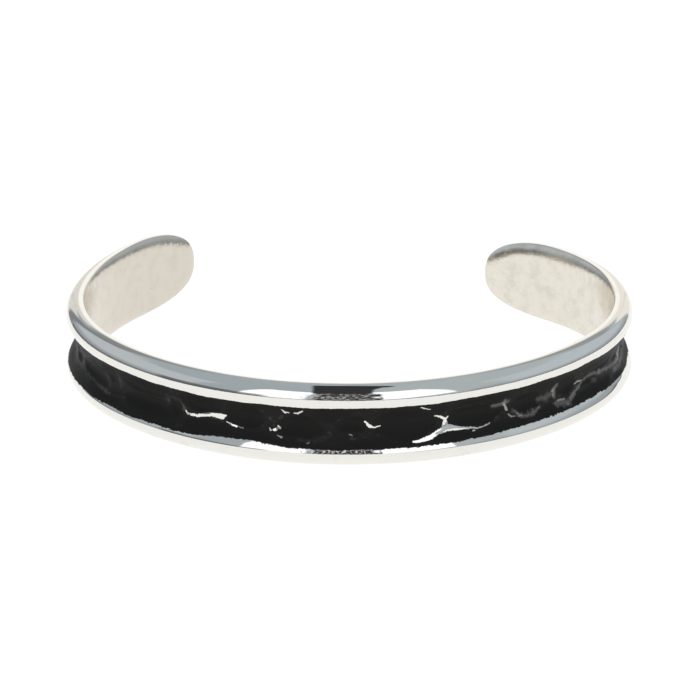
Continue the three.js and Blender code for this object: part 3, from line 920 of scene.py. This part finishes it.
def studio_world():
    """A pale tent: grey roof, dark slot over the front, a white box on each side, white back."""
    world = bpy.data.worlds.new("studio")
    bpy.context.scene.world = world
    n = empty_nodes(world)
    direction = n.add("ShaderNodeTexCoord").outputs["Generated"]
    x, y, z = (n.axis(direction, name) for name in "XYZ")
    forward = n.times(y, -1.0)
    azimuth = n.math("DEGREES", n.math("ARCTAN2", x, forward))
    elevation = n.math("DEGREES", n.math("ARCSINE", z))
    around = n.math("ABSOLUTE", azimuth)
    panel = panel_group()

    def lit(colour, panels):
        """The colour with panels laid over it: edges in degrees, softness, share and light."""
        for where, edges, softness, amount, light in panels:
            values = dict(zip(("Left", "Right", "Bottom", "Top"), edges))
            values |= {"Azimuth": where, "Elevation": elevation, "Softness": softness}
            mask = n.add("ShaderNodeGroup", values, node_tree=panel).outputs["Mask"]
            colour = n.mix(n.times(mask, amount), colour, light)
        return colour

    right_share = n.ramp(x, -0.25, 0.25)
    roof = n.mix(right_share, (0.41, 0.465, 0.515), (0.477, 0.53, 0.568))
    wall = n.mix(right_share, (0.55, 0.592, 0.642), (0.55, 0.61, 0.67))
    belt = (0.39, 0.42, 0.46)
    shade = n.mix(right_share, (0.25, 0.265, 0.28), (0.33, 0.345, 0.36))
    near_back = n.mix(right_share, (0.82, 0.789, 0.76), (0.97, 0.926, 0.88))
    far_back = (1.13, 1.11, 1.08)
    white = (1.32, 1.34, 1.42)
    dark = (0.042, 0.042, 0.046)
    colour = lit(roof, (
        (around, (62, 141, 13, 48), 8, 1, wall),
        (around, (44, 150, -20, 10), 8, 1, belt),
        (around, (46, 61, 5, 15), 4, 0.5, shade),
        (azimuth, (-151, -141, -4, 42), 5, 1, shade),
        (azimuth, (-160, -151, -60, 21), 4, 1, near_back),
        (azimuth, (-200, -160, -60, 28), 4, 1, near_back),
        (azimuth, (146, 160, -60, 25), 4, 1, near_back),
        (azimuth, (160, 200, -60, 30), 4, 1, near_back),
        (around, (143, 171, 30, 43), 6, 0.85, shade),
        (around, (171, 200, -60, 26), 4, 1, far_back),
        (azimuth, (-42, -17, -4, 57), 1.5, 1, white)))
    # The right box has a sloping lower edge
    above_slope = n.scaled_plus(azimuth, -0.4, n.plus(elevation, 3.6))
    colour = lit(colour, (
        (azimuth, (9, 40, 0, 61), 1.5, n.ramp(above_slope, -1.0, 1.0), white),))

    # The slot runs from the front over the top, narrowing, with flecks and teeth low down
    over = n.math("DEGREES", n.math("ARCTAN2", z, forward))
    fleck_place = n.combined(X=azimuth, Y=n.times(elevation, 0.07))
    flecks = n.ramp(n.noise(fleck_place, 1.0, 2.0, 0.6), 0.54, 0.59)
    lowness = n.ramp(over, 44.0, 56.0, 1.0, 0.0)
    tooth = n.times(n.minus(flecks, 0.5), lowness, 0.09)
    jagged_x = n.plus(x, tooth)
    left_side = n.scaled_plus(over, 0.0021, -0.312)
    right_side = n.math("MAXIMUM", n.scaled_plus(over, -0.001, 0.168), 0.087)
    body = n.math("MINIMUM",
                  n.ramp(n.minus(jagged_x, left_side), -0.004, 0.004),
                  n.ramp(n.minus(right_side, jagged_x), -0.004, 0.004))
    spur = n.times(n.ramp(over, 98.0, 102.0), n.ramp(x, 0.105, 0.115, 1.0, 0.0),
                   n.ramp(x, 0.0, 0.01))
    top_end = n.math("MINIMUM", n.scaled_plus(x, 80.0, 125.0),
                     n.scaled_plus(x, -155.0, 125.0))
    beyond = n.minus(over, top_end)
    slot = n.times(n.math("MAXIMUM", body, spur), n.ramp(beyond, -1.0, 1.0, 1.0, 0.0),
                   n.ramp(over, -4.0, -3.0))
    flecked = n.mix(n.times(flecks, lowness, 0.85), dark, (0.95, 0.96, 0.98))
    colour = n.mix(slot, colour, flecked)

    colour = lit(colour, (
        (around, (-1, 140, -30, 2.2), 1.5, 0.75, (0.15, 0.155, 0.165)),
        (azimuth, (-76, -32, -30, 12), 6, 0.8, (0.11, 0.115, 0.13))))
    ground_light = (1.1, 1.09, 1.07)
    colour = n.mix(n.ramp(elevation, -10.0, -9.0), ground_light, colour)
    back_light = n.add("ShaderNodeBackground", {"Color": colour, "Strength": 1.0})
    n.add("ShaderNodeOutputWorld", {"Surface": back_light.outputs["Background"]})


def stage_floor(studio):
    half = studio.floor_size / 2
    mesh = bpy.data.meshes.new("floor")
    left = -studio.floor_left
    corners = ((left, -half), (half, -half), (half, half), (left, half))
    mesh.from_pydata([(x, y, BAND_LOW.z) for x, y in corners], [], [(0, 1, 2, 3)])
    material = bpy.data.materials.new("pale_floor")
    n = empty_nodes(material)
    glow = n.add("ShaderNodeEmission", {"Color": (1.0, 0.997, 0.99, 1.0),
                                        "Strength": studio.floor_glow})
    matt = n.add("ShaderNodeBsdfDiffuse", {"Color": (0.16, 0.16, 0.16, 1.0)})
    both = n.add("ShaderNodeAddShader", {0: glow.outputs[0], 1: matt.outputs[0]})
    n.add("ShaderNodeOutputMaterial", {"Surface": both.outputs[0]})
    mesh.materials.append(material)
    floor = linked_object("floor", mesh)


def studio_camera(studio):
    data = bpy.data.cameras.new("camera")
    data.lens = studio.lens
    data.sensor_width = 36.0
    data.clip_start, data.clip_end = 0.01, 20.0
    turn, rise = studio.azimuth, studio.elevation
    back = Vector((math.sin(turn) * math.cos(rise), -math.cos(turn) * math.cos(rise),
                   math.sin(rise)))
    right = Vector((math.cos(turn), math.sin(turn), 0.0))
    up = back.cross(right)
    level_right = right * math.cos(studio.roll) + up * math.sin(studio.roll)
    level_up = back.cross(level_right)
    camera = linked_object("camera", data)
    axes = Matrix((level_right, level_up, back)).transposed().to_4x4()
    camera.matrix_world = Matrix.Translation(
        Vector(studio.target) + back * studio.distance) @ axes
    bpy.context.scene.camera = camera


# Operators and panel

class CUFF_OT_add_band(bpy.types.Operator):
    """Adds the silver band, hammered and bent, in the place of the CAD band"""

    bl_idname = "cuff.add_band"
    bl_label = "Add Band"

    def execute(self, context):
        sizes = context.scene.cuff_sizes
        finish = context.scene.cuff_finish
        polish, stroke = polish_group(), stroke_group()
        paint_edge = (sizes.height / 2 - ground_half_height(sizes)) / MM - PAINT_OVERLAP
        rim = rim_material(finish, polish)
        blank = linked_object("blank", flat_blank(sizes))
        blank.data.materials.append(rim)
        dents = linked_object("dents", dent_points(sizes))
        curve = linked_object("wrist_curve", wrist_curve(sizes))
        modifier = blank.modifiers.new("hammer_and_bend", "NODES")
        modifier.node_group = hammer_and_bend_tree()
        put_inputs(modifier, {
            "Dents": dents, "Wrist Curve": curve, "Left Length": arm_length(sizes, LEFT),
            "Rim": rim, "Channel": channel_material(finish, polish, stroke, paint_edge),
            "Inner Face": inner_material(finish, polish)})
        piece = finished_mesh(blank, PIECE_NAME)
        bpy.data.objects.remove(dents)
        bpy.data.objects.remove(curve)
        settle_in_frame(piece)
        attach(piece, "root")
        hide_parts("cuff_band")
        return {"FINISHED"}


class CUFF_OT_add_stage(bpy.types.Operator):
    """Adds the floor, the surroundings and the camera"""

    bl_idname = "cuff.add_stage"
    bl_label = "Add Stage"

    def execute(self, context):
        studio = context.scene.cuff_studio
        stage_floor(studio)
        studio_world()
        studio_camera(studio)
        context.scene.view_settings.view_transform = "Standard"
        return {"FINISHED"}


class CUFF_PT_panel(bpy.types.Panel):
    """Lists the steps and the sizes of the cuff"""

    bl_idname = "CUFF_PT_panel"
    bl_label = "Hammered Silver Cuff"
    bl_space_type = "VIEW_3D"
    bl_region_type = "UI"
    bl_category = "Cuff"

    def draw(self, context):
        layout = self.layout
        layout.operator(CUFF_OT_add_band.bl_idname)
        layout.operator(CUFF_OT_add_stage.bl_idname)
        for label, group in (("Sizes", context.scene.cuff_sizes),
                             ("Finish", context.scene.cuff_finish),
                             ("Studio", context.scene.cuff_studio)):
            box = layout.box()
            box.label(text=label)
            for name in group.__annotations__:
                box.prop(group, name)


GROUPS = {"cuff_sizes": CuffBandSizes, "cuff_finish": CuffFinish, "cuff_studio": CuffStudio}
CLASSES = (*GROUPS.values(), CUFF_OT_add_band, CUFF_OT_add_stage, CUFF_PT_panel)


def register():
    for entry in CLASSES:
        bpy.utils.register_class(entry)
    for name, group in GROUPS.items():
        setattr(bpy.types.Scene, name, PointerProperty(type=group))


def unregister():
    for name in GROUPS:
        delattr(bpy.types.Scene, name)
    for entry in reversed(CLASSES):
        bpy.utils.unregister_class(entry)


def main():
    register()
    bpy.ops.cuff.add_band()
    bpy.ops.cuff.add_stage()


if __name__ == "__main__":
    main()
